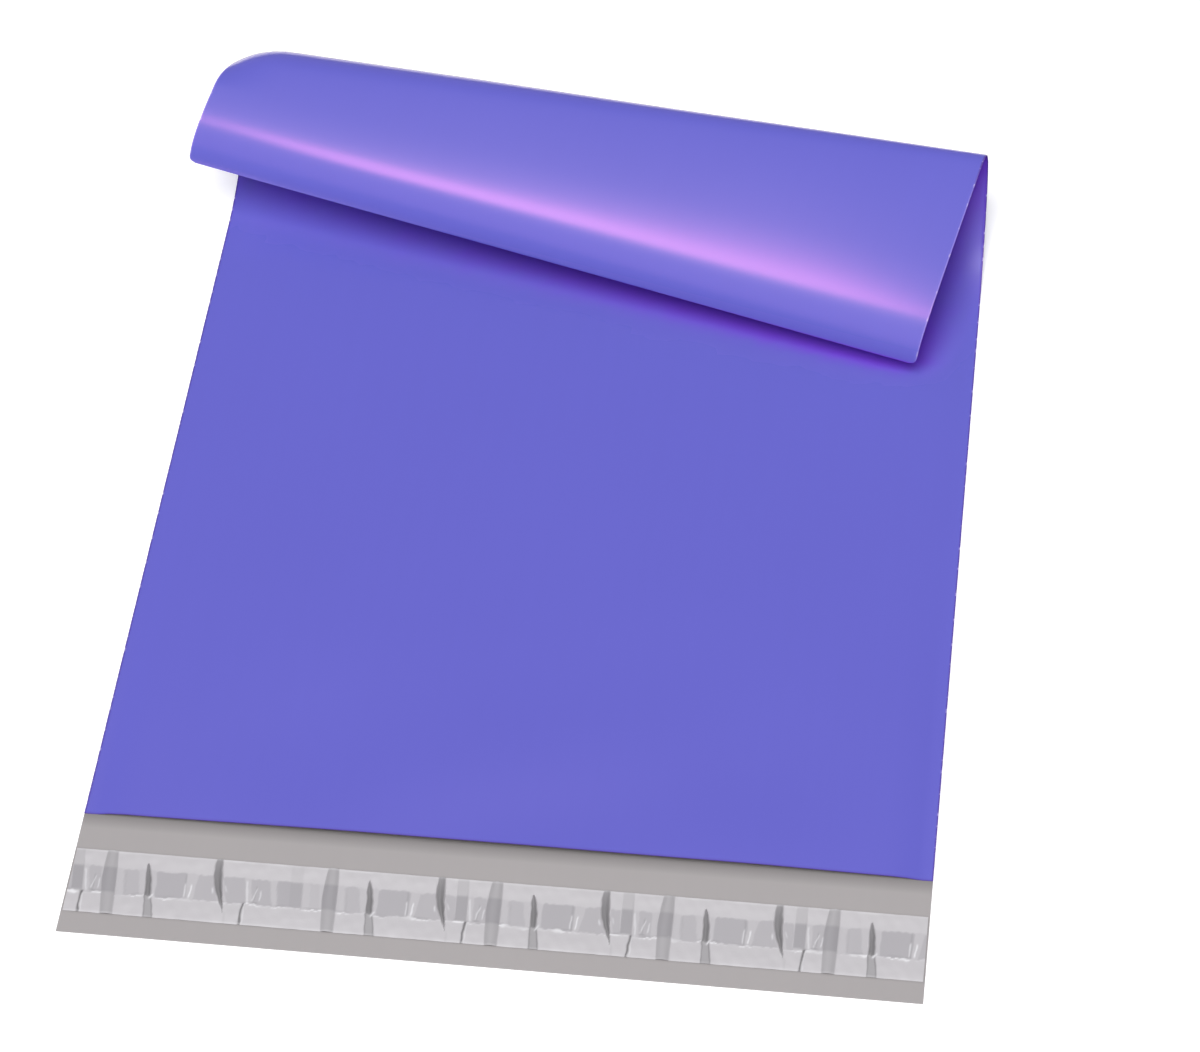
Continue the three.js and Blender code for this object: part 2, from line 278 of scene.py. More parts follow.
# %% How far apart the walls are
WALL_GAP = 0.3 * MM
MOUTH_RISE = 2.0 * MM
MOUTH_REACH = 150 * MM
MOUTH_CORNERS = 0.35
MOUTH_RIPPLE = 0.3
FULL_GAP_FROM = 10 * MM
PRESSED = ROWS - 3
BEAD_HEIGHT = 0.14 * MM
BEAD_END = 0.7 * MM
across = MOUTH_CORNERS + (1 - MOUTH_CORNERS) * np.sin(math.pi * column_share)[None, :] ** 2
opened = MOUTH_RISE * across * np.maximum(0, 1 - flat_y / MOUTH_REACH) ** 2
ripple = 1 + MOUTH_RIPPLE * waves(flat_x, flat_y, seed=4, shortest=0.04, longest=0.09)
near_weld = fade(from_edge, WELD_WIDTH, FULL_GAP_FROM)[None, :]
wall_gap = (WALL_GAP + opened * ripple) * near_weld
wall_gap[:, : LEFT_WELD + 1] = 0
wall_gap[:, RIGHT_WELD:] = 0
wall_gap[PRESSED:] = 0
bead = BEAD_HEIGHT * (1 - fade(from_edge, EDGE_BEAD, BEAD_END))[None, :]
bead = bead * (1 + 0.5 * waves(flat_x, flat_y, seed=9, shortest=0.002, longest=0.008))
bead[:MOUTH] = 0
print("widest gap at the mouth", round(wall_gap.max() / MM, 2), "mm")

# %% [markdown]
# The curl overhangs the left side of the bag with nothing under it, so the corner at its back
# droops and is softly rounded when seen from the front. The droop and the slow waves are added to
# both walls. The two corners of the closed end are not sharp either: the fold is worn round.

# %% Where the film lies
WAVE_HEIGHT = 0.16 * MM
WAVES_FULL_FROM = 30  # degrees of turn
DROOP = Vector((0.3, -2.4, -4.9)) * MM
DROOP_WIDTH = 19 * MM
DROOP_MIDDLE = 48 * MM
DROOP_REACH = 20 * MM
DROOP_SOFTNESS = 2.2
CORNER_RADIUS = 2.2 * MM

from_fold = BAG_LENGTH - (row_left[:, 1] + row_right[:, 1]) / 2
worn = np.clip(1 - from_fold / CORNER_RADIUS, 0, 1)
corner_inset = CORNER_RADIUS * (1 - np.sqrt(1 - worn**2))
flat_place[..., 0] *= (1 - corner_inset / HALF_WIDTH)[:, None]
upright = np.einsum("rij,rcj->rci", row_turn, flat_place) + row_shift[:, None]
turned = np.zeros(ROWS)
turned[ROWS - CURL_ROWS - 1 :] = np.degrees(curl_turn)
from_droop = np.clip((BAG_LENGTH - row_left[:, 1] - DROOP_MIDDLE) / DROOP_REACH, -1, 1)
over_the_top = np.cos(math.pi / 2 * from_droop) ** 2
from_left = np.clip(1 - column_share * 2 * HALF_WIDTH / DROOP_WIDTH, 0, 1) ** DROOP_SOFTNESS
droop = over_the_top[:, None, None] * from_left[None, :, None] * np.array(DROOP)
wave = WAVE_HEIGHT * (1 + waves(flat_x, flat_y, seed=2, shortest=0.06, longest=0.2))
wave = wave * fade(turned, 0, WAVES_FULL_FROM)[:, None]


def film_points(lift):
    """Places of the film's grid, lifted off the outer face of the back wall."""
    return upright + droop + (lift + wave)[..., None] * row_up[:, None, :]


back_outer = film_points(np.zeros((ROWS, COLUMNS)))
back_inner = film_points(np.full((ROWS, COLUMNS), FILM))
front_inner = film_points(FILM + wall_gap)
front_outer = film_points(2 * FILM + wall_gap + bead)
print("curl stands", round(back_outer[..., 2].max() / MM, 1), "mm high")

# %% [markdown]
# The mesh joins four grids into one closed skin: the outer and inner face of each wall. Where the
# walls are welded or folded together their inner faces share the same points, so the skin has no
# hidden faces. Violet and grey faces get different material slots, because the film was
# co-extruded: two colours in one sheet.

# %% Skin of the bag
VIOLET = 0
GREY = 1
FOLD_NOSE = 1.5 * FILM
SHARP_FROM = math.radians(40)


class Skin:
    """Points and faces of one closed surface, with a material number for each face."""

    def __init__(self):
        self.points = []
        self.places = []
        self.faces = []
        self.slots = []

    def add_grid(self, points, places):
        """Adds a grid of points, and returns their numbers in the same layout."""
        first = len(self.points)
        self.points.extend(points.reshape(-1, 3).tolist())
        self.places.extend(places.reshape(-1, 3).tolist())
        return np.arange(first, len(self.points)).reshape(points.shape[:-1])

    def face(self, corners, slot):
        self.faces.append([int(c) for c in corners])
        self.slots.append(slot)

    def cover(self, numbers, slot, up=True):
        """Fills a grid with faces, seen counter-clockwise from above, or from below."""
        for row in range(numbers.shape[0] - 1):
            for column in range(numbers.shape[1] - 1):
                a, b = numbers[row, column], numbers[row, column + 1]
                c, d = numbers[row + 1, column + 1], numbers[row + 1, column]
                self.face((a, b, c, d) if up else (d, c, b, a), slot)

    def make(self, name):
        mesh = bpy.data.meshes.new(name)
        mesh.from_pydata(self.points, [], self.faces)
        mesh.polygons.foreach_set("material_index", self.slots)
        mesh.polygons.foreach_set("use_smooth", [True] * len(self.faces))
        place = mesh.attributes.new("flat_place", "FLOAT_VECTOR", "POINT")
        place.data.foreach_set("vector", np.array(self.places, np.float32).ravel())
        mesh.validate()
        mesh.set_sharp_from_angle(angle=SHARP_FROM)
        piece = bpy.data.objects.new(name, mesh)
        bpy.context.scene.collection.objects.link(piece)
        print(name, len(mesh.vertices), "points,", sum(len(f) - 2 for f in self.faces), "triangles")
        return piece


def film_skin():
    """Both walls and the flap, from the end of the flap to the fold, closed all around."""
    skin = Skin()

    def lay(numbers, points, rows, columns=slice(None)):
        numbers[rows, columns] = skin.add_grid(points[rows, columns], flat_place[rows, columns])

    low, top, inner = (np.zeros((ROWS, COLUMNS), int) for _ in range(3))
    inside = slice(LEFT_WELD, RIGHT_WELD + 1)
    lay(low, back_outer, slice(ROWS))
    lay(inner, back_inner, slice(MOUTH))
    lay(top, front_outer, slice(MOUTH, ROWS))
    lay(inner, back_inner, MOUTH)
    lay(inner, back_inner, slice(MOUTH + 1, PRESSED + 1), inside)
    ceiling = inner.copy()
    lay(ceiling, front_inner, slice(MOUTH, PRESSED), slice(LEFT_WELD + 1, RIGHT_WELD))

    skin.cover(low, VIOLET, up=False)
    skin.cover(inner[: MOUTH + 1], GREY)
    skin.cover(inner[MOUTH : PRESSED + 1, inside], GREY)
    skin.cover(ceiling[MOUTH : PRESSED + 1, inside], GREY, up=False)
    skin.cover(top[MOUTH:], VIOLET)
    skin.cover(np.stack([low[0], inner[0]]), GREY)
    skin.cover(np.stack([ceiling[MOUTH], top[MOUTH]]), VIOLET)
    close_sides(skin, low, inner, top)
    close_fold(skin, low[-1], top[-1])
    return skin


def close_sides(skin, *grids):
    """The cut edges along the sides: single film beside the flap, both walls as one after it."""
    for column, left_side in ((0, True), (COLUMNS - 1, False)):
        low, inner, top = (grid[:, column] for grid in grids)

        def face(*corners):
            skin.face(corners[::-1] if left_side else corners, VIOLET)

        for row in range(MOUTH):
            face(low[row], low[row + 1], inner[row + 1], inner[row])
        face(low[MOUTH], low[MOUTH + 1], top[MOUTH + 1], top[MOUTH], inner[MOUTH])
        for row in range(MOUTH + 1, ROWS - 1):
            face(low[row], low[row + 1], top[row + 1], top[row])


def close_fold(skin, low, top):
    """The fold at the closed end, rounded over by half again the thickness of the film."""
    centre = (back_outer[-1] + front_outer[-1]) / 2
    before = (back_outer[-2] + front_outer[-2]) / 2
    ahead = centre - before
    ahead = ahead / np.linalg.norm(ahead, axis=1, keepdims=True)
    nose = skin.add_grid(centre + ahead * FOLD_NOSE, flat_place[-1])
    skin.cover(np.stack([low, nose]), VIOLET, up=False)
    skin.cover(np.stack([nose, top]), VIOLET, up=False)
    skin.face((nose[0], low[0], top[0])[::-1], VIOLET)
    skin.face((low[-1], nose[-1], top[-1])[::-1], VIOLET)


bag = film_skin().make("bag_film")

# %% [markdown]
# Values for the film's finish are kept on the points of the mesh, and three of them come from a
# point's place on the flat film. Dark edge marks a fine dark line along the sides and the mouth.
# Where the film bends over into the curl, the edge at the sides is stretched and turns pale, which
# is the second value. The third, the side weld, marks the sides from end to end for the pale specks
# that sit in them.

# %% Hot-cut edges
SIDE_LINE = (0.1 * MM, 0.5 * MM)
MOUTH_LINE = 0.45 * MM
STRETCHED_FROM = BAG_LENGTH - 75 * MM
STRETCHED_FULL = BAG_LENGTH - 55 * MM


def keep_values(piece, name, values):
    """Keeps one value for every point of a piece, under a name that its material can read."""
    layer = piece.data.attributes.new(name, "FLOAT", "POINT")
    layer.data.foreach_set("value", values.astype(np.float32))


def mark_cut_edges(piece):
    places = np.empty(len(piece.data.vertices) * 3, np.float32)
    piece.data.attributes["flat_place"].data.foreach_get("vector", places)
    places = places.reshape(-1, 3)
    from_mouth = np.abs(places[:, 1])
    # The first grid is the back wall's outer face, which runs past the mouth without a cut.
    from_mouth[: ROWS * COLUMNS] = FLAP_LENGTH
    along_sides = 1 - fade(HALF_WIDTH - np.abs(places[:, 0]), *SIDE_LINE)
    stretched = along_sides * fade(places[:, 1], STRETCHED_FROM, STRETCHED_FULL)
    dark_edge = np.maximum(along_sides - stretched, 1 - fade(from_mouth, 0.0, MOUTH_LINE))
    keep_values(piece, "dark_edge", dark_edge)
    keep_values(piece, "stretched", stretched)
    keep_values(piece, "side_weld", along_sides)
    print("points in the bead", int((dark_edge > 0.5).sum()), "and", int((stretched > 0.5).sum()))


mark_cut_edges(bag)

# %% [markdown]
# A fourth value, enclosed, says how much of the open air around a point is taken by more film close
# by. Light that is caught in such a fold meets the film several times and comes out purple, and the
# material paints that purple shade into the colour there. A few fixed directions are tried from
# each point, which gives the same answer under any lamp.

# %% Enclosed places
LOOK_AROUND = 72
FOLD_REACH = 45 * MM
CLEAR_OF_SKIN = 0.25 * MM
BESIDE_CURL = 60 * MM


def directions(count):
    """Directions spread evenly over the half sphere around +Z, more of them near the middle."""
    turn = math.pi * (3 - math.sqrt(5))
    for i in range(count):
        height = math.sqrt(1 - (i + 0.5) / count)
        level = math.sqrt(1 - height * height)
        yield Vector((level * math.cos(i * turn), level * math.sin(i * turn), height))


def mark_enclosed(piece):
    points = piece.data.vertices
    tree = BVHTree.FromObject(piece, bpy.context.evaluated_depsgraph_get())
    around = list(directions(LOOK_AROUND))
    enclosed = np.zeros(len(points))
    near_curl = BAG_LENGTH - curl_left[0] - BESIDE_CURL
    for number, point in enumerate(points):
        if point.co.y < near_curl:
            continue
        upright_turn = point.normal.to_track_quat("Z", "Y")
        start = point.co + point.normal * CLEAR_OF_SKIN
        met = 0.0
        for direction in around:
            distance = tree.ray_cast(start, upright_turn @ direction, FOLD_REACH)[3]
            if distance is not None:
                met += 1 - distance / FOLD_REACH
        enclosed[number] = met / LOOK_AROUND
    keep_values(piece, "enclosed", enclosed)
    print("most enclosed", round(float(enclosed.max()), 2))


mark_enclosed(bag)

# %% [markdown]
# The adhesive is a flat ribbon of hot-melt rubber. It was laid down soft, so its long edges
# wander a little and its top is slightly crowned.

# %% Adhesive strip
STRIP_COLUMNS = 240
STRIP_PROFILE = np.array((0, 0.04, 0.12, 0.3, 0.5, 0.7, 0.88, 0.96, 1.0))
STRIP_INSET = 0.3 * MM
STRIP_WANDER = 0.25 * MM
OTHER_EDGE = 37  # columns that the second edge's wandering lies behind the first


def adhesive_skin():
    skin = Skin()
    x = np.linspace(strip_low[0], strip_high[0], STRIP_COLUMNS)[None, :]
    wander = STRIP_WANDER * waves(x, np.zeros_like(x), seed=21, shortest=0.006, longest=0.03)
    low_edge = strip_low[1] + STRIP_INSET + wander
    high_edge = strip_high[1] - STRIP_INSET + np.roll(wander, OTHER_EDGE, axis=1)
    y = low_edge + (high_edge - low_edge) * STRIP_PROFILE[:, None]
    x = np.broadcast_to(x, y.shape)
    crown = np.sin(math.pi * np.clip(STRIP_PROFILE, 0.02, 0.98))[:, None] ** 0.25
    thickness = (strip_high[2] - strip_low[2]) * crown
    places = np.stack([x, y, y * 0], -1)
    bottom = skin.add_grid(np.stack([x, y, y * 0 + strip_low[2]], -1), places)
    top = skin.add_grid(np.stack([x, y, y * 0 + strip_low[2] + thickness], -1), places)
    skin.cover(bottom, 0, up=False)
    skin.cover(top, 0)
    close_rim(skin, bottom, top)
    return skin


def close_rim(skin, bottom, top):
    """Joins two grids of the same layout around their four edges."""
    skin.cover(np.stack([bottom[0], top[0]]), 0)
    skin.cover(np.stack([bottom[-1], top[-1]]), 0, up=False)
    skin.cover(np.stack([bottom[:, 0], top[:, 0]]), 0, up=False)
    skin.cover(np.stack([bottom[:, -1], top[:, -1]]), 0)


strip = adhesive_skin().make("glue_strip")

# %% [markdown]
# The release liner is a thin milky film. Where it touches the adhesive it looks darker, and it
# was laid down slack, so the spare length lies in creases. They come in groups that repeat with
# every turn of the roll it came from, each slipped a little, and one interval is longer. Each part
# of a group is described by its place in millimetres, x across the bag from the start of the group
# and s down the liner from its edge at the mouth. The same description gives both the height of
# the film and what it looks like.

# %% Where the liner's creases are
CREASE_PITCH = 48.6
CREASE_START = -47.8
CREASE_GAP = 16.0
CREASE_SLIPS = {-1: -0.65, 0: 0.1, 1: -0.6, 2: 0.5, 3: -0.7}
CREASE_LEAN = 0.75
CREASE_FAN = -0.0115
LINER_MM = LINER_WIDTH / MM
LINER_ROWS = 52
FINE_STEP = 0.22
WIDE_STEP = 0.4
FINE_PLACES = ((-3.6, 3.6), (9.4, 14.8), (21.8, 26.6), (30.0, 42.0), (43.2, 46.4))
GLUE_START = 5.5
GLUE_END = 14.1


def group_starts():
    """The place of every group, and whether the interval after it is the long one."""
    half = HALF_WIDTH / MM
    for group in range(-3, 4):
        start = CREASE_START + group * CREASE_PITCH - (CREASE_GAP if group < 0 else 0)
        if -half - CREASE_PITCH < start < half:
            yield start + CREASE_SLIPS.get(group, 0), group == -1


def soft_box(value, start, end, soft):
    """1 between start and end, falling to 0 over the width soft on each side."""
    half = soft / 2
    return fade(value, start - half, start + half) * (1 - fade(value, end - half, end + half))


def along(s, *stations):
    """A smooth course down the liner through stations of (s, value)."""
    places, values = zip(*stations)
    at = np.interp(s, places, np.arange(len(places)))
    return smooth_through(values, at)


def liner_columns():
    """Places across the bag, close together around the creases and wide apart between them."""
    end = liner_high[0] / MM
    places = [-end]
    while places[-1] < end:
        x = places[-1]
        near = any(a <= x - start <= b for start, _ in group_starts() for a, b in FINE_PLACES)
        places.append(x + (FINE_STEP if near else WIDE_STEP))
    places[-1] = end
    return np.array(places)


X, S = np.meshgrid(liner_columns(), np.linspace(0, LINER_MM, LINER_ROWS + 1))
print(X.shape[1], "columns across the liner,", X.shape[0], "rows down it")

# %% [markdown]
# Four maps are drawn over the liner. Lift is its height above the glue. Contact says where it is
# stuck down. Shade darkens the colour where the film lies double, and is painted shade where it
# stands up in a crease or is split. Torn line and glint marks the pale lines where it has torn
# loose from the glue, and painted glints where its creases and edges catch the light.

# %% Maps of the liner
class LinerMaps:
    """The four maps, and the strokes that draw on them."""

    def __init__(self):
        self.lift = np.zeros_like(X)
        self.contact = np.zeros_like(X)
        self.shade = np.ones_like(X)
        self.torn_line_and_glint = np.zeros_like(X)

    def raise_to(self, height):
        self.lift = np.maximum(self.lift, height)

    def stick(self, hold):
        self.contact = np.maximum(self.contact, hold)

    def free(self, amount):
        self.contact = self.contact * (1 - amount)

    def darken(self, amount):
        self.shade = self.shade * (1 - amount)

    def brighten(self, amount):
        self.torn_line_and_glint = np.maximum(self.torn_line_and_glint, amount)


def course(seed, shortest, longest):
    """A line that wanders up and down across the bag."""
    return waves(X * MM, X * 0, seed=seed, shortest=shortest, longest=longest)


maps = LinerMaps()
rough_edge = waves(X * MM, S * MM, seed=31, shortest=0.003, longest=0.011)
torn_edge = waves(X * MM, S * MM, seed=32, shortest=0.0012, longest=0.004)
glue_top = GLUE_START + 0.3 * course(33, 0.006, 0.02)
glue_bottom = GLUE_END + 0.3 * course(34, 0.003, 0.012)
maps.stick(0.3 * soft_box(S + 0.15 * torn_edge, glue_top, glue_bottom, 0.7))
print("glue from", round(float(glue_top.min()), 1), "to", round(float(glue_bottom.max()), 1), "mm")

# %% [markdown]
# The parts of a group come next. Patches are the places where the liner sticks. The wide fold is a
# pleat, the short and the long crease stand up like blades, and at the crack one side of the liner
# lies over the other. Single strokes of painted glint and of painted crease shade are listed as
# they run.

# %% Parts of a group
SHORT_TIP = 3.2
LONG_TIP = 17.6

# Stuck patches: left side and right side at the top and at the bottom, and how well they stick.
FIRST_PATCH = (4.2, 4.6, 8.6, 9.8, 0.7)
PATCHES = (
    FIRST_PATCH,
    (14.1, 14.3, 23.9, 23.4, 0.95),
    (26.8, 25.0, 31.4, 33.0, 0.75),
    (33.6, 35.2, 36.9, 37.3, 0.7),
    (41.9, 42.3, 46.0, 46.3, 0.75),
)
LONG_PATCHES = (
    FIRST_PATCH,
    (14.1, 14.3, 23.4, 23.0, 0.95),
    (26.4, 25.2, 31.4, 33.0, 0.75),
    (33.6, 35.2, 40.6, 41.2, 0.8),
    (42.0, 43.0, 47.8, 48.9, 0.85),
    (49.9, 50.1, 57.5, 57.6, 1.0),
    (59.4, 59.7, 62.6, 62.8, 0.5),
)
# Pale strokes, painted glints: x and s where each starts and ends, half width and strength.
GLINT_STROKES = (
    (22.9, 9.0, 22.7, 13.4, 0.30, 0.6),
    (24.7, 9.2, 24.2, 13.4, 0.36, 0.9),
    (12.6, 14.8, 13.6, 13.2, 0.34, 0.9),
    (30.9, 9.6, 31.1, 11.2, 0.34, 0.6),
    (34.6, 8.6, 35.2, 10.4, 0.30, 0.4),
    (41.0, 6.4, 41.5, 13.6, 0.40, 0.5),
    (42.9, 12.9, 44.3, 8.6, 0.22, 0.5),
    (45.4, 9.4, 45.0, 12.6, 0.28, 0.5),
)
# Dark strokes, painted shade along fine creases, given in the same way.
CREASE_SHADES = (
    (22.9, 5.8, 23.1, 13.8, 0.35, 0.13),
    (44.0, 8.0, 43.5, 13.0, 0.26, 0.16),
    (42.4, 13.2, 44.2, 13.4, 0.34, 0.22),
    (5.0, 6.4, 5.2, 13.4, 0.25, 0.07),
)


def stroke(x, x0, s0, x1, s1, half_width):
    """A brush stroke from one point to another, 1 along its middle and 0 outside."""
    length = math.hypot(x1 - x0, s1 - s0)
    forward = ((x - x0) * (x1 - x0) + (S - s0) * (s1 - s0)) / length
    beside = ((x - x0) * (s1 - s0) - (S - s0) * (x1 - x0)) / length + 0.12 * torn_edge
    ends = soft_box(forward, 0, length, min(1.2, length))
    return np.clip(1.2 - np.abs(beside) / half_width, 0, 1) * ends


def draw_patches(x, patches):
    down = np.clip((S - GLUE_START) / (GLUE_END - GLUE_START), 0, 1)
    for left_top, left_bottom, right_top, right_bottom, hold in patches:
        left = left_top + (left_bottom - left_top) * down
        right = right_top + (right_bottom - right_top) * down
        sides = soft_box(x - 0.22 * rough_edge, left, right, 0.7)
        round_off = 0.3 * (1 - fade(x, left, left + 0.9)) + 0.25 * fade(x, right - 0.8, right)
        ends = soft_box(S + 0.22 * torn_edge, glue_top + round_off, glue_bottom, 0.6)
        maps.stick(hold * sides * ends)


def draw_wide_fold(x):
    """A pleat right across the liner, where the film lies threefold."""
    left = along(S, (0, -1.1), (5, -1.7), (10, -2.05), (14, -1.8), (21, -1.4))
    right = along(S, (0, 2.0), (8, 2.2), (21, 2.25))
    inside = fade(x, left - 0.2, left + 0.2) * (1 - fade(x, right - 0.15, right + 0.2))
    middle = (x - left) / (right - left)
    maps.raise_to(0.42 * inside * np.sin(math.pi * np.clip(middle, 0.08, 0.92)) ** 0.6)
    in_glue = soft_box(S, GLUE_START, GLUE_END - 0.3, 1.0)
    maps.darken(inside * (0.25 + 0.05 * fade(middle, 0.5, 0)) * (1 - 0.3 * in_glue))
    maps.free(inside)
    maps.stick(inside * in_glue)
    beside = soft_box(x, left - 0.9, left - 0.1, 0.5) + soft_box(x, 2.4, 3.4, 0.6)
    maps.stick(0.35 * beside * in_glue)


def draw_short_crease(x):
    """A blade that starts as a point and widens down to the edge of the glue, then lies flat."""
    middle = along(
        S, (SHORT_TIP, 11.25), (5.7, 11.55), (10, 11.95), (14, 12.05), (17, 12.45), (21, 12.7)
    )
    half = along(S, (SHORT_TIP, 0.0), (4.2, 0.5), (6, 0.85), (10, 1.1), (13.8, 1.08))
    from_middle = np.abs(x - middle + 0.1 * torn_edge)
    in_reach = (1 - fade(S, 13.6, 14.4)) * (S > SHORT_TIP)
    blade = np.clip(1 - from_middle / (half + 0.01), 0, 1) * in_reach
    maps.free(fade(blade, 0, 0.3))
    maps.raise_to(0.5 * np.sqrt(blade))
    # Painted shade on the standing blade, and on the dark rims of the flat band below it.
    depth = along(S, (3, 0.42), (6, 0.55), (10, 0.61), (14, 0.61))
    maps.darken(fade(blade, 0.0, 0.4) * depth)
    half = along(S, (13.8, 1.12), (17, 1.28), (21, 1.5))
    below = (1 - fade(from_middle, half - 0.15, half + 0.2)) * fade(S, 13.5, 14.3)
    rim = np.clip(1 - np.abs(from_middle - half + 0.25) / 0.28, 0, 1) * below
    maps.raise_to(0.16 * below)
    maps.darken(0.33 * below)
    maps.darken(0.3 * rim)


def draw_long_crease(x):
    """A crease from the mouth-side edge to a curved point in the lower band."""
    middle = along(S, (0, 32.4), (5.7, 32.25), (10, 32.75), (14.3, 33.75), (18, 34.6))
    half = along(S, (0, 1.15), (5.7, 1.38), (10, 1.12), (14.3, 0.56), (LONG_TIP, 0.05))
    from_middle = np.abs(x - middle + 0.1 * torn_edge)
    blade = np.clip(1 - from_middle / (half + 0.01), 0, 1) * (S < LONG_TIP)
    maps.free(fade(blade, 0, 0.3))
    maps.raise_to(0.8 * np.sqrt(blade) * along(S, (0, 0.5), (7, 1), (12, 0.8), (LONG_TIP, 0.1)))
    # Painted shade on the standing blade.
    depth = along(S, (0, 0.4), (5, 0.54), (12, 0.62), (LONG_TIP, 0.42))
    maps.darken(fade(blade, 0.0, 0.36) * depth)
    trail = soft_box(x, middle + 0.1, middle + 0.8, 0.5) * fade(S, 16.5, 18.0)
    maps.darken(0.06 * trail)


def draw_crack(x):
    """The liner is split in its lower band, and one side lies over the other."""
    middle = along(S, (13.6, 40.4), (16.0, 39.9), (18.5, 39.75), (21, 39.5))
    from_middle = x - middle + 0.16 * torn_edge
    # The gap is painted shade, and the edge of the upper side gets a painted highlight.
    gap = np.clip(1.2 - np.abs(from_middle) / 0.42, 0, 1) * fade(S, 13.4, 14.2)
    maps.darken(0.68 * gap)
    maps.raise_to(0.2 * np.clip(1 - np.abs(x - middle), 0, 1) * fade(S, 13.4, 14.8))
    lit_side = np.clip(1 - np.abs(from_middle - 0.66) / 0.3, 0, 1) * fade(S, 13.8, 14.6)
    maps.brighten(0.45 * lit_side)


def draw_veil(x, long_interval):
    """A faint hazy panel beside the crack, or near the end of the long interval."""
    if long_interval:
        maps.darken(0.06 * soft_box(x, 53.8, 57.4, 0.5) * (1 - fade(S, 13.2, 14.0)))
        return
    veil = soft_box(x, 37.1, 40.4, 0.5) * (1 - fade(S, 13.4, 14.2))
    maps.stick(veil * fade(S, 5.0, 6.0))
    maps.darken(0.12 * veil)
    maps.raise_to(0.12 * veil)


def draw_group(start, long_interval):
    lean = (CREASE_LEAN + CREASE_FAN * start) * (S / LINER_MM - 0.5)
    x = X - start - lean
    draw_patches(x, LONG_PATCHES if long_interval else PATCHES)
    draw_wide_fold(x)
    draw_short_crease(x)
    draw_long_crease(x)
    draw_crack(x)
    draw_veil(x, long_interval)
    for x0, s0, x1, s1, half_width, strength in GLINT_STROKES:
        maps.brighten(strength * stroke(x, x0, s0, x1, s1, half_width))
    for x0, s0, x1, s1, half_width, strength in CREASE_SHADES:
        maps.darken(strength * stroke(x, x0, s0, x1, s1, half_width))


for place, long_interval in group_starts():
    draw_group(place, long_interval)
print("creases stand", round(float(maps.lift.max()), 2), "mm up")

# %% [markdown]
# Two pale lines run across all groups: a broken one where the liner has let go along the lower
# edge of the glue, and a painted highlight along the liner's own long edges. The lift is then
# completed: the liner rises a little where nothing holds it, and stays under the height of its
# solid.

# %% Torn edge of the glue, and the free edges
EDGE_RISE = 0.09
LOOSE_RISE = 0.02
GLINT_RISE = 0.06
LEAST_RISE = 0.01
TUCKED_EDGE = 0.05
BELOW_TOP = 0.05


def draw_torn_edge():
    patchy = fade(course(41, 0.004, 0.012), -0.2, 0.5)
    thick = 0.2 + 0.5 * fade(course(42, 0.003, 0.009), 0, 1.3)
    line = np.clip(1.3 - np.abs(S - glue_bottom - 0.2 + 0.25 * torn_edge) / thick, 0, 1)
    standing = 1 - fade(1 - maps.shade, 0.1, 0.22)
    maps.brighten((0.25 + 0.75 * patchy) * line * standing)
    above = np.clip(1 - np.abs(S - glue_bottom + 0.5) / 0.35, 0, 1)
    maps.darken(0.12 * above * patchy * standing)


def draw_free_edges():
    """A painted highlight along the liner's long slit edges, where they catch the light."""
    from_liner_edge = np.minimum(S, LINER_MM - S) + 0.08 * rough_edge
    broken = 0.6 + 0.4 * course(43, 0.006, 0.03)
    maps.brighten(0.3 * (1 - fade(from_liner_edge, 0.3, 0.7)) * broken)


draw_torn_edge()
draw_free_edges()
uneven = 1 + 0.5 * rough_edge
from_glue = np.maximum(GLUE_START - S, S - GLUE_END)
maps.raise_to(EDGE_RISE * fade(from_glue, 0, 4) * uneven)
lift = maps.lift + LOOSE_RISE * (1 - maps.contact) * uneven + GLINT_RISE * maps.torn_line_and_glint + LEAST_RISE
lies_down = 1 - fade(1 - maps.shade, 0.05, 0.2)
lift = lift - TUCKED_EDGE * fade(S, LINER_MM - 1.0, LINER_MM) * lies_down
lift = np.clip(lift, 0.0, (liner_high[2] - LINER_BASE) / MM - BELOW_TOP)
print("liner stands", round(float(lift.max()), 2), "mm off the glue at the most")

# %% [markdown]
# The liner's skin is two grids, one for each face, joined around the rim. The maps go with it as
# values on its points, for its material to read.

# %% Skin of the liner
LINER_THICKNESS = 0.04


def liner_skin():
    """Rows run from the flap's end to the mouth, so that a grid covered upwards faces up."""
    skin = Skin()
    places = np.stack([X, S, X * 0], -1)[::-1] * MM
    faces = []
    for height in (lift, lift + LINER_THICKNESS):
        points = np.stack([X, LINER_TOP_EDGE / MM - S, LINER_BASE / MM + height], -1)
        faces.append(skin.add_grid(points[::-1] * MM, places))
    skin.cover(faces[0], 0, up=False)
    skin.cover(faces[1], 0)
    close_rim(skin, *faces)
    return skin


liner = liner_skin().make("liner_film")
for name in ("contact", "shade", "torn_line_and_glint"):
    one_face = getattr(maps, name)[::-1].ravel()
    keep_values(liner, name, np.concatenate([one_face, one_face]))
print("stuck over", round(100 * float(maps.contact.mean())), "% of the liner")

# %% [markdown]
# The films share the marks of how they are blown: faint streaks along the sheet, soft clouds and
# a very fine grain. They come from one node group, which also gives the pale specks of the side
# welds. Each material sets how strong the marks are, and feeds the values to its own shader.

# %% Node groups
STREAK_NOISE = ((1, 0.03, 1), 260, 3)
CLOUD_NOISE = ((1, 1, 1), 14, 2)
GRAIN_NOISE = ((1, 1, 1), 2600, 2)
SPECK_NOISE = ((0, 1, 0), 420, 3)
SPECK_RANGE = (0.56, 0.66)
STREAK_HEIGHT = 0.6


def link(source, target):
    source.id_data.links.new(source, target)


def set_inputs(node, values):
    for name, value in values.items():
        node.inputs[name].default_value = value


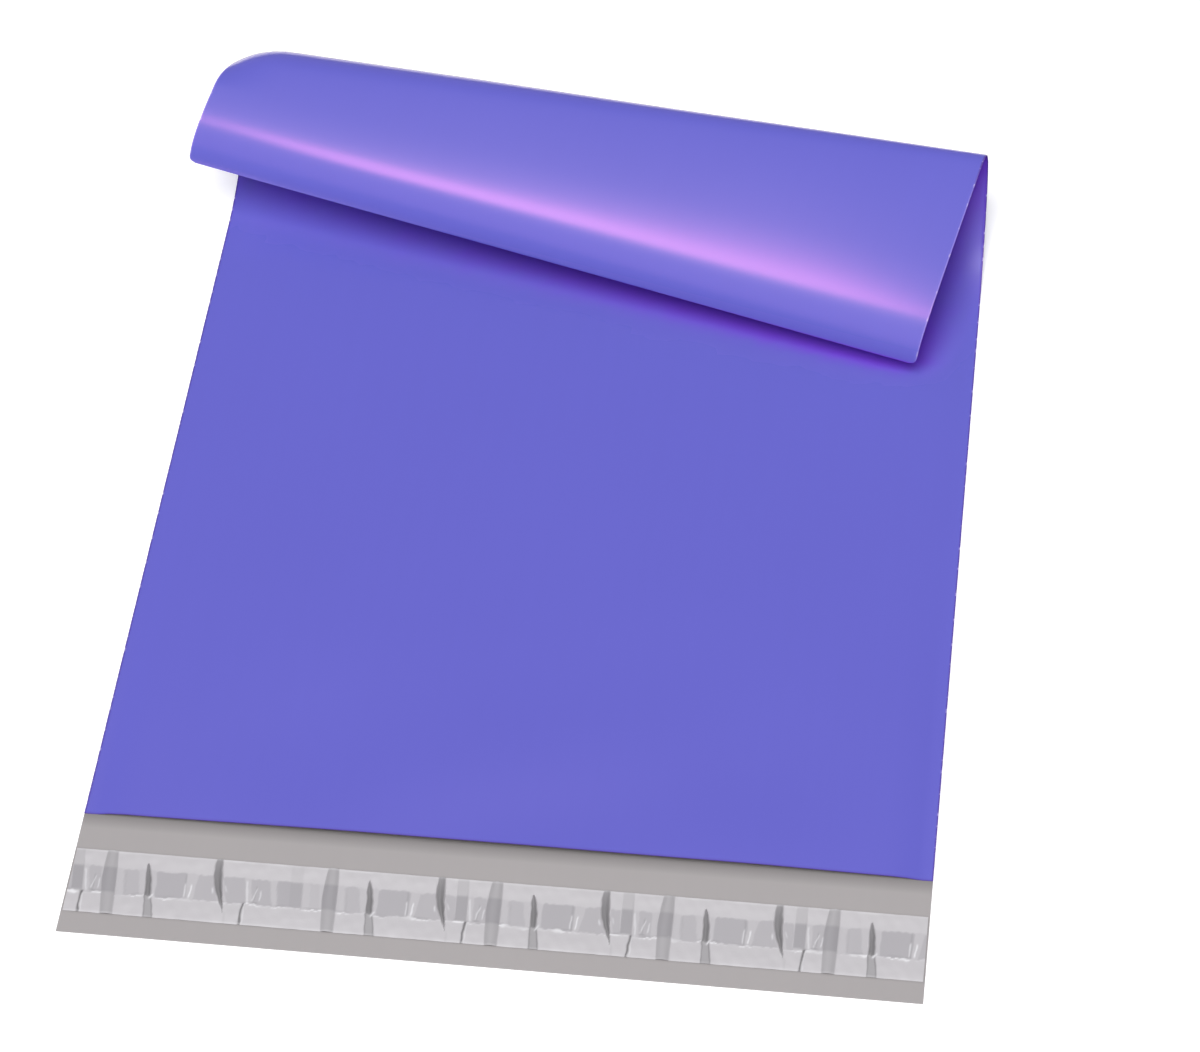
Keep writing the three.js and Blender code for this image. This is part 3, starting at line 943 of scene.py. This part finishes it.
def math_node(tree, operation, *inputs):
    node = tree.nodes.new("ShaderNodeMath")
    node.operation = operation
    for socket, value in zip(node.inputs, inputs):
        if isinstance(value, (int, float)):
            socket.default_value = value
        else:
            link(value, socket)
    return node.outputs[0]


def ramp(tree, value, start, end, low=0.0, high=1.0, smooth=False):
    """A value that is low before start and high past end, with a straight or smooth rise."""
    node = tree.nodes.new("ShaderNodeMapRange")
    if smooth:
        node.interpolation_type = "SMOOTHSTEP"
    set_inputs(node, {"From Min": start, "From Max": end, "To Min": low, "To Max": high})
    link(value, node.inputs["Value"])
    return node.outputs["Result"]


def attribute(tree, name, output="Fac"):
    node = tree.nodes.new("ShaderNodeAttribute")
    node.attribute_name = name
    return node.outputs[output]


def film_marks_group():
    tree = bpy.data.node_groups.new("film_marks", "ShaderNodeTree")
    sockets = {"INPUT": ("Streaks", "Clouds", "Grain"), "OUTPUT": ("Tone", "Height", "Specks")}
    for way, names in sockets.items():
        for name in names:
            tree.interface.new_socket(name, in_out=way, socket_type="NodeSocketFloat")
    inputs = tree.nodes.new("NodeGroupInput")
    outputs = tree.nodes.new("NodeGroupOutput")
    place = attribute(tree, "flat_place", "Vector")

    def noise(stretch, scale, detail):
        mapping = tree.nodes.new("ShaderNodeMapping")
        set_inputs(mapping, {"Scale": stretch})
        link(place, mapping.inputs["Vector"])
        node = tree.nodes.new("ShaderNodeTexNoise")
        set_inputs(node, {"Scale": scale, "Detail": detail})
        link(mapping.outputs["Vector"], node.inputs["Vector"])
        return node.outputs["Fac"]

    streaks = math_node(tree, "SUBTRACT", noise(*STREAK_NOISE), 0.5)
    clouds = math_node(tree, "SUBTRACT", noise(*CLOUD_NOISE), 0.5)
    streak_tone = math_node(tree, "MULTIPLY", streaks, inputs.outputs["Streaks"])
    cloud_tone = math_node(tree, "MULTIPLY", clouds, inputs.outputs["Clouds"])
    tone = math_node(tree, "ADD", streak_tone, cloud_tone)
    link(math_node(tree, "ADD", tone, 1.0), outputs.inputs["Tone"])
    fine = math_node(tree, "MULTIPLY", noise(*GRAIN_NOISE), inputs.outputs["Grain"])
    height = math_node(tree, "ADD", fine, math_node(tree, "MULTIPLY", streaks, STREAK_HEIGHT))
    link(height, outputs.inputs["Height"])
    link(ramp(tree, noise(*SPECK_NOISE), *SPECK_RANGE), outputs.inputs["Specks"])
    return tree


film_marks = film_marks_group()
print("film_marks has", len(film_marks.nodes), "nodes")

# %% [markdown]
# Short helpers keep the materials readable: for colours as they look on a screen, for mixing them,
# for a lighter or darker tone, and for what every film needs in the end.

# %% Helpers for materials
def colour(red, green, blue):
    """An sRGB colour given as on a screen, 0 to 255, turned into the linear values nodes use."""
    def linear(value):
        value = value / 255
        return value / 12.92 if value <= 0.04045 else ((value + 0.055) / 1.055) ** 2.4

    return (linear(red), linear(green), linear(blue), 1.0)


def new_material(name):
    material = bpy.data.materials.new(name)
    material.use_nodes = True
    tree = material.node_tree
    return material, tree, tree.nodes["Principled BSDF"]


def use_marks(tree, streaks, clouds, grain):
    node = tree.nodes.new("ShaderNodeGroup")
    node.node_tree = film_marks
    set_inputs(node, {"Streaks": streaks, "Clouds": clouds, "Grain": grain})
    return node


def tinted(tree, base, tone):
    """A colour made lighter or darker by a tone around 1."""
    scale = tree.nodes.new("ShaderNodeVectorMath")
    scale.operation = "SCALE"
    if isinstance(base, tuple):
        scale.inputs[0].default_value = base[:3]
    else:
        link(base, scale.inputs[0])
    link(tone, scale.inputs["Scale"])
    return scale.outputs["Vector"]


def mixed(tree, factor, first, second):
    """The first colour where the factor is 0, the second where it is 1."""
    node = tree.nodes.new("ShaderNodeMix")
    node.data_type = "RGBA"
    link(factor, node.inputs["Factor"])
    for name, value in (("A", first), ("B", second)):
        socket = next(s for s in node.inputs if s.name == name and s.type == "RGBA")
        if isinstance(value, tuple):
            socket.default_value = value
        else:
            link(value, socket)
    return next(s for s in node.outputs if s.type == "RGBA")


def finish(tree, shader, marks, look, values, relief, depth):
    """Joins the look and the marks' tone, the shader's constants, and the marks' fine relief."""
    link(tinted(tree, look, marks.outputs["Tone"]), shader.inputs["Base Color"])
    set_inputs(shader, values)
    bump = tree.nodes.new("ShaderNodeBump")
    set_inputs(bump, {"Strength": relief, "Distance": depth})
    link(marks.outputs["Height"], bump.inputs["Height"])
    link(bump.outputs["Normal"], shader.inputs["Normal"])


print("grey 128 is", round(colour(128, 128, 128)[0], 3), "in linear light")

# %% [markdown]
# The outer face of the film is violet and satin. Its highlight in the picture is not white but a
# pale pink: a tint on the reflection gives the pink, and a soft clear coat over it gives the wide
# pale glow around. In the fold under the curl a purple shade is painted into the colour, and the
# surface turns more matt. The cut edges are dark, or pale where the film is stretched, with specks
# all along. Seen nearly edge on, a dark rim is painted into the colour as shade, and the film has
# no coat.

# %% Violet film
OUTER_VIOLET = colour(105, 105, 209)
# Painted shade: the purple of the fold under the curl.
PAINTED_FOLD_SHADE = colour(122, 72, 222)
DARK_EDGE_LINE = colour(86, 60, 160)
STRETCHED_BEAD = colour(146, 132, 228)
PALE_SPECK = colour(196, 188, 240)
# Painted shade: a dark rim where the film is seen nearly edge on.
PAINTED_RIM_SHADE = colour(58, 24, 116)
RIM_FROM = 0.76
FOLD_SHADE_RANGE = (0.05, 0.34)
MATT_RANGE = (0.0, 0.11)
SATIN_ROUGHNESS = 0.19
FOLD_ROUGHNESS = 0.6
PINK_REFLECTION = (1.0, 0.17, 0.48, 1.0)
COAT = 0.66


def violet_film():
    material, tree, shader = new_material("violet_film")
    marks = use_marks(tree, streaks=0.02, clouds=0.04, grain=0.5)
    enclosed = attribute(tree, "enclosed")
    edge_on = tree.nodes.new("ShaderNodeLayerWeight")
    glancing = ramp(tree, edge_on.outputs["Facing"], RIM_FROM, 1.0)
    specks = math_node(tree, "MULTIPLY", attribute(tree, "side_weld"), marks.outputs["Specks"])
    # The purple in the fold and the dark rim seen nearly edge on are painted shade.
    look = OUTER_VIOLET
    for factor, change in (
        (ramp(tree, enclosed, *FOLD_SHADE_RANGE, smooth=True), PAINTED_FOLD_SHADE),
        (attribute(tree, "dark_edge"), DARK_EDGE_LINE),
        (attribute(tree, "stretched"), STRETCHED_BEAD),
        (specks, PALE_SPECK),
        (glancing, PAINTED_RIM_SHADE),
    ):
        look = mixed(tree, factor, look, change)
    matt = ramp(tree, enclosed, *MATT_RANGE, SATIN_ROUGHNESS, FOLD_ROUGHNESS, smooth=True)
    link(matt, shader.inputs["Roughness"])
    facing = math_node(tree, "SUBTRACT", 1, glancing)
    link(math_node(tree, "MULTIPLY", facing, COAT), shader.inputs["Coat Weight"])
    gloss = {"IOR": 1.51, "Specular IOR Level": 0.5, "Specular Tint": PINK_REFLECTION}
    coat = {"Coat Roughness": 0.3, "Coat IOR": 1.5}
    finish(tree, shader, marks, look, gloss | coat, 0.08, 0.02 * MM)
    return material


bag.data.materials.append(violet_film())
print("outer face:", bag.data.materials[VIOLET].name)

# %% [markdown]
# The inner face is a plain satin grey. The lip of the mouth and the edges of the liner stand off
# the flap and keep some light from it. That shade is painted into the grey as a tone, darkest right
# beside the edge.

# %% Grey film
INNER_GREY = colour(178, 173, 174)
# Painted shade on the grey flap beside the mouth's lip and the liner's edges.
LIP_PAINTED_SHADE = 0.62
LIP_SHELTER = -4.6 * MM
LINER_EDGE_PAINTED_SHADE = 0.9
EDGE_SHELTER = 0.8 * MM


def painted_shelter_shade(tree, start, reach, least):
    """A painted shade: a tone that rises from least at start to 1 over a reach along the flat film.
    """
    parts = tree.nodes.new("ShaderNodeSeparateXYZ")
    link(attribute(tree, "flat_place", "Vector"), parts.inputs[0])
    return ramp(tree, parts.outputs["Y"], start, start + reach, least)


def grey_film():
    material, tree, shader = new_material("grey_film")
    marks = use_marks(tree, streaks=0.03, clouds=0.05, grain=0.6)
    look = INNER_GREY
    for start, reach, least in (
        (0.0, LIP_SHELTER, LIP_PAINTED_SHADE),
        (LINER_TOP_EDGE, EDGE_SHELTER, LINER_EDGE_PAINTED_SHADE),
        (LINER_TOP_EDGE - LINER_WIDTH, -EDGE_SHELTER, LINER_EDGE_PAINTED_SHADE),
    ):
        look = tinted(tree, look, painted_shelter_shade(tree, start, reach, least))
    finish(tree, shader, marks, look, {"Roughness": 0.45, "IOR": 1.51}, 0.1, 0.02 * MM)
    return material


bag.data.materials.append(grey_film())
print("inner face:", bag.data.materials[GREY].name)

# %% [markdown]
# The hot-melt is smooth, glossy and a slightly cloudy grey. The liner covers most of it.

# %% Adhesive material
def adhesive_material():
    material, tree, shader = new_material("hot_melt")
    marks = use_marks(tree, streaks=0.0, clouds=0.2, grain=1.0)
    look = colour(176, 174, 170)
    finish(tree, shader, marks, look, {"Roughness": 0.22, "IOR": 1.48}, 0.3, 0.05 * MM)
    return material


strip.data.materials.append(adhesive_material())
print("adhesive:", strip.data.materials[0].name)

# %% [markdown]
# The liner's material reads the maps made above: milky where it is free, darker where it is
# stuck, dimmed by its painted shade, and nearly white along the torn lines and the painted glints.

# %% Liner material
FREE_LINER = colour(199, 196, 200)
STUCK_LINER = colour(175, 172, 177)
# Pale colour for the torn lines, and for the painted glints.
TORN_LINE_AND_GLINT = colour(232, 231, 235)


def liner_material():
    material, tree, shader = new_material("milky_liner")
    marks = use_marks(tree, streaks=0.03, clouds=0.08, grain=1.0)
    look = mixed(tree, attribute(tree, "contact"), FREE_LINER, STUCK_LINER)
    look = tinted(tree, look, attribute(tree, "shade"))
    look = mixed(tree, attribute(tree, "torn_line_and_glint"), look, TORN_LINE_AND_GLINT)
    finish(tree, shader, marks, look, {"Roughness": 0.38, "IOR": 1.5}, 0.2, 0.04 * MM)
    return material


liner.data.materials.append(liner_material())
print("liner:", liner.data.materials[0].name)

# %% [markdown]
# Each dressed piece takes the place of its plain solid, and moves with the bag's one body.

# %% Put the pieces in the frame
for piece, node, slot in (
    (bag, "film_bag", "film"),
    (strip, "adhesive_strip", "adhesive"),
    (liner, "release_liner", "liner"),
):
    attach(piece, "root")
    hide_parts(node)
    print(piece.name, "replaces", node)

# %% [markdown]
# The bag lies on a white table, which glows a little besides the light that it gets. A wide soft
# lamp stands high at the front left, so that the film right under the curl's edge is in a short
# soft shadow. It doesn't show in reflections. A narrow strip high over the closed end shows only
# there: it draws the bright line along the curl. The surroundings are white to the camera and
# light the bag weakly from all sides, but reflections see them as a dim room.

# %% Floor, lamps and surroundings
FLOOR_SIZE = 8.0
FLOOR_WHITE = (0.9, 0.9, 0.9, 1)
FLOOR_GLOW = 0.36
AROUND = 0.19
HORIZON = 0.2
CEILING = 0.1
CEILING_RANGE = (0.35, 0.7)
SOFT_LAMP_HEIGHT_ANGLE = math.radians(68.5)
SOFT_LAMP_WIDTH_ANGLE = math.radians(54)
SOFT_LAMP_SIDE = math.radians(24)
SOFT_LAMP_STRENGTH = 2.86
STRIP_LAMP_PLACE = Vector((-0.215, 0.316, 1.4))
STRIP_LAMP_TURN = math.radians(16)
STRIP_LAMP_LENGTH = 0.56
STRIP_LAMP_WIDTH = 0.22
STRIP_LAMP_POWER = 4.8


def background_rays(tree):
    """1 for rays that show the background: seen directly, in a reflection, or through glass."""
    path = tree.nodes.new("ShaderNodeLightPath")
    seen = math_node(tree, "MAXIMUM", path.outputs["Is Camera Ray"], path.outputs["Is Glossy Ray"])
    return math_node(tree, "MAXIMUM", seen, path.outputs["Is Transmission Ray"])


def make_floor():
    half = FLOOR_SIZE / 2
    mesh = bpy.data.meshes.new("table")
    corners = [(-half, -half, 0), (half, -half, 0), (half, half, 0), (-half, half, 0)]
    mesh.from_pydata(corners, [], [(0, 1, 2, 3)])
    table = bpy.data.objects.new("table", mesh)
    bpy.context.scene.collection.objects.link(table)
    material, tree, shader = new_material("white_table")
    set_inputs(shader, {"Base Color": FLOOR_WHITE, "Roughness": 0.9})
    set_inputs(shader, {"Specular IOR Level": 0.0, "Emission Color": (1, 1, 1, 1)})
    glow = math_node(tree, "MULTIPLY", background_rays(tree), FLOOR_GLOW)
    link(glow, shader.inputs["Emission Strength"])
    mesh.materials.append(material)


def add_lamp(name, kind, strength, turn):
    data = bpy.data.lights.new(name, kind)
    data.energy = strength
    lamp = bpy.data.objects.new(name, data)
    lamp.rotation_euler = turn
    bpy.context.scene.collection.objects.link(lamp)
    return lamp


def make_lamps():
    tilt = math.pi / 2 - SOFT_LAMP_HEIGHT_ANGLE
    soft = add_lamp("soft_lamp", "SUN", SOFT_LAMP_STRENGTH, (tilt, 0, -SOFT_LAMP_SIDE))
    soft.data.angle = SOFT_LAMP_WIDTH_ANGLE
    soft.visible_glossy = False
    gloss = add_lamp("strip_lamp", "AREA", STRIP_LAMP_POWER, (0, 0, STRIP_LAMP_TURN))
    gloss.location = STRIP_LAMP_PLACE
    gloss.data.shape = "RECTANGLE"
    gloss.data.size = STRIP_LAMP_LENGTH
    gloss.data.size_y = STRIP_LAMP_WIDTH
    gloss.visible_diffuse = False
    print("lamps:", soft.name, "and", gloss.name)


def make_surroundings():
    world = bpy.data.worlds.new("surroundings")
    world.use_nodes = True
    bpy.context.scene.world = world
    tree = world.node_tree
    background = tree.nodes["Background"]
    background.inputs["Color"].default_value = (1, 1, 1, 1)
    path = tree.nodes.new("ShaderNodeLightPath").outputs
    direction = tree.nodes.new("ShaderNodeTexCoord")
    parts = tree.nodes.new("ShaderNodeSeparateXYZ")
    link(direction.outputs["Generated"], parts.inputs[0])
    room = ramp(tree, parts.outputs["Z"], *CEILING_RANGE, HORIZON, CEILING, smooth=True)
    mirrored = math_node(tree, "MULTIPLY", path["Is Glossy Ray"], room)
    seen = math_node(tree, "MAXIMUM", path["Is Camera Ray"], path["Is Transmission Ray"])
    shown = math_node(tree, "MAXIMUM", seen, mirrored)
    lighting = math_node(tree, "SUBTRACT", 1, background_rays(tree))
    fill = math_node(tree, "MULTIPLY", lighting, AROUND)
    link(math_node(tree, "ADD", shown, fill), background.inputs["Strength"])


make_floor()
make_lamps()
make_surroundings()
bpy.context.scene.view_settings.view_transform = "Standard"
